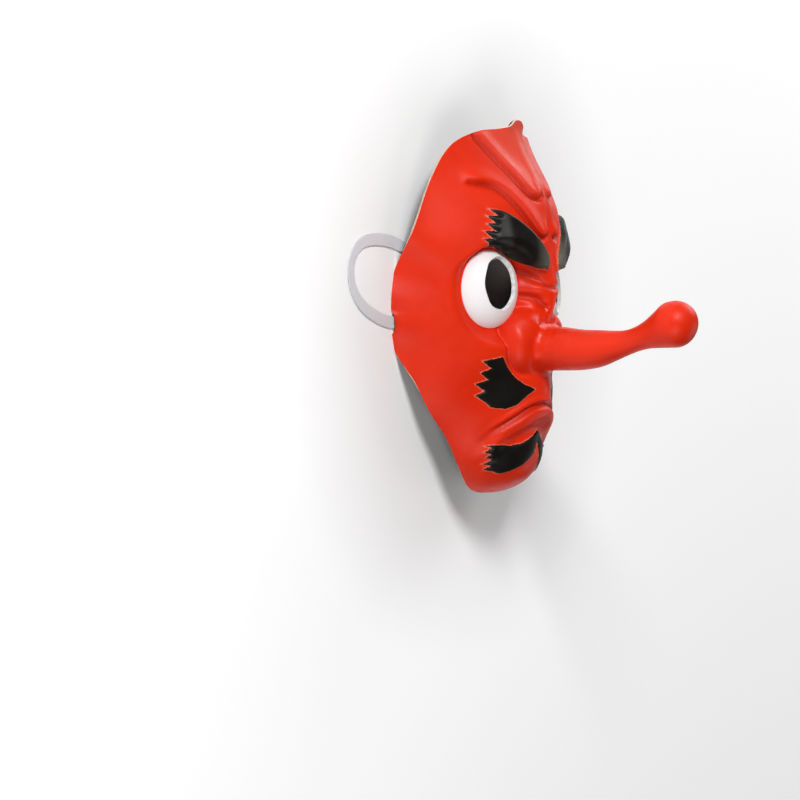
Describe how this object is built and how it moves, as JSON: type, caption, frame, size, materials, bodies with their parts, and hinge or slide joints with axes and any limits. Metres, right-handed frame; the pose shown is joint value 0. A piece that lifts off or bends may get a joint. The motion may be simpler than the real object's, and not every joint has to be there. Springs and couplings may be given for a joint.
{
  "type": "tengu mask",
  "caption": "Long-nosed red tengu costume mask of moulded latex with open pupils, lying face up on its rim, with a flat white elastic strap.",
  "frame": {"origin": "on the floor, under the middle of the mask's box without the strap", "axes": "+X to the wearer's left, +Y to the top of the face, +Z the way the face looks, along the nose"},
  "size_m": [0.2241, 0.2294, 0.163],
  "materials": {
    "latex_red": "satin, moulded and painted",
    "elastic_white": "flat woven elastic"
  },
  "bodies": {
    "root": {"mask_shell": "latex_red", "elastic_strap": "elastic_white"}
  },
  "joints": []
}
